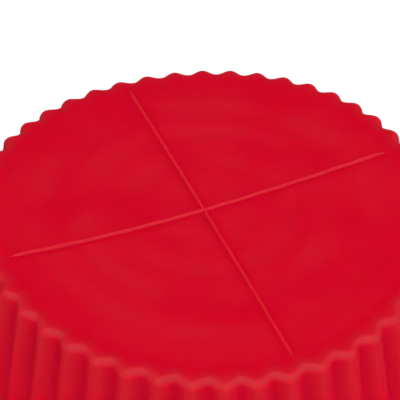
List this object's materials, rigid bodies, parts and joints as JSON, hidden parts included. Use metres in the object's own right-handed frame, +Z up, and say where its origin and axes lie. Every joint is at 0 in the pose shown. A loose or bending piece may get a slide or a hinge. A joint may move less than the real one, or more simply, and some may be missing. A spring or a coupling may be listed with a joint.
{
  "type": "silicone muffin cup",
  "caption": "One-piece silicone muffin cup, upside down: finely fluted tapering wall, beaded rim, and a round base with two crossed ribs.",
  "frame": {"origin": "middle of the rim plane, which rests on the surface below", "axes": "+Z up, from the rim to the base, along the cup's axis; the crossed ribs under the base lie along X and Y, the longer one along Y, and a flute crest lies on +X"},
  "size_m": [0.0699, 0.07, 0.034],
  "materials": {
    "silicone": "matte"
  },
  "bodies": {
    "root": {"muffin_cup": "silicone"}
  },
  "joints": []
}
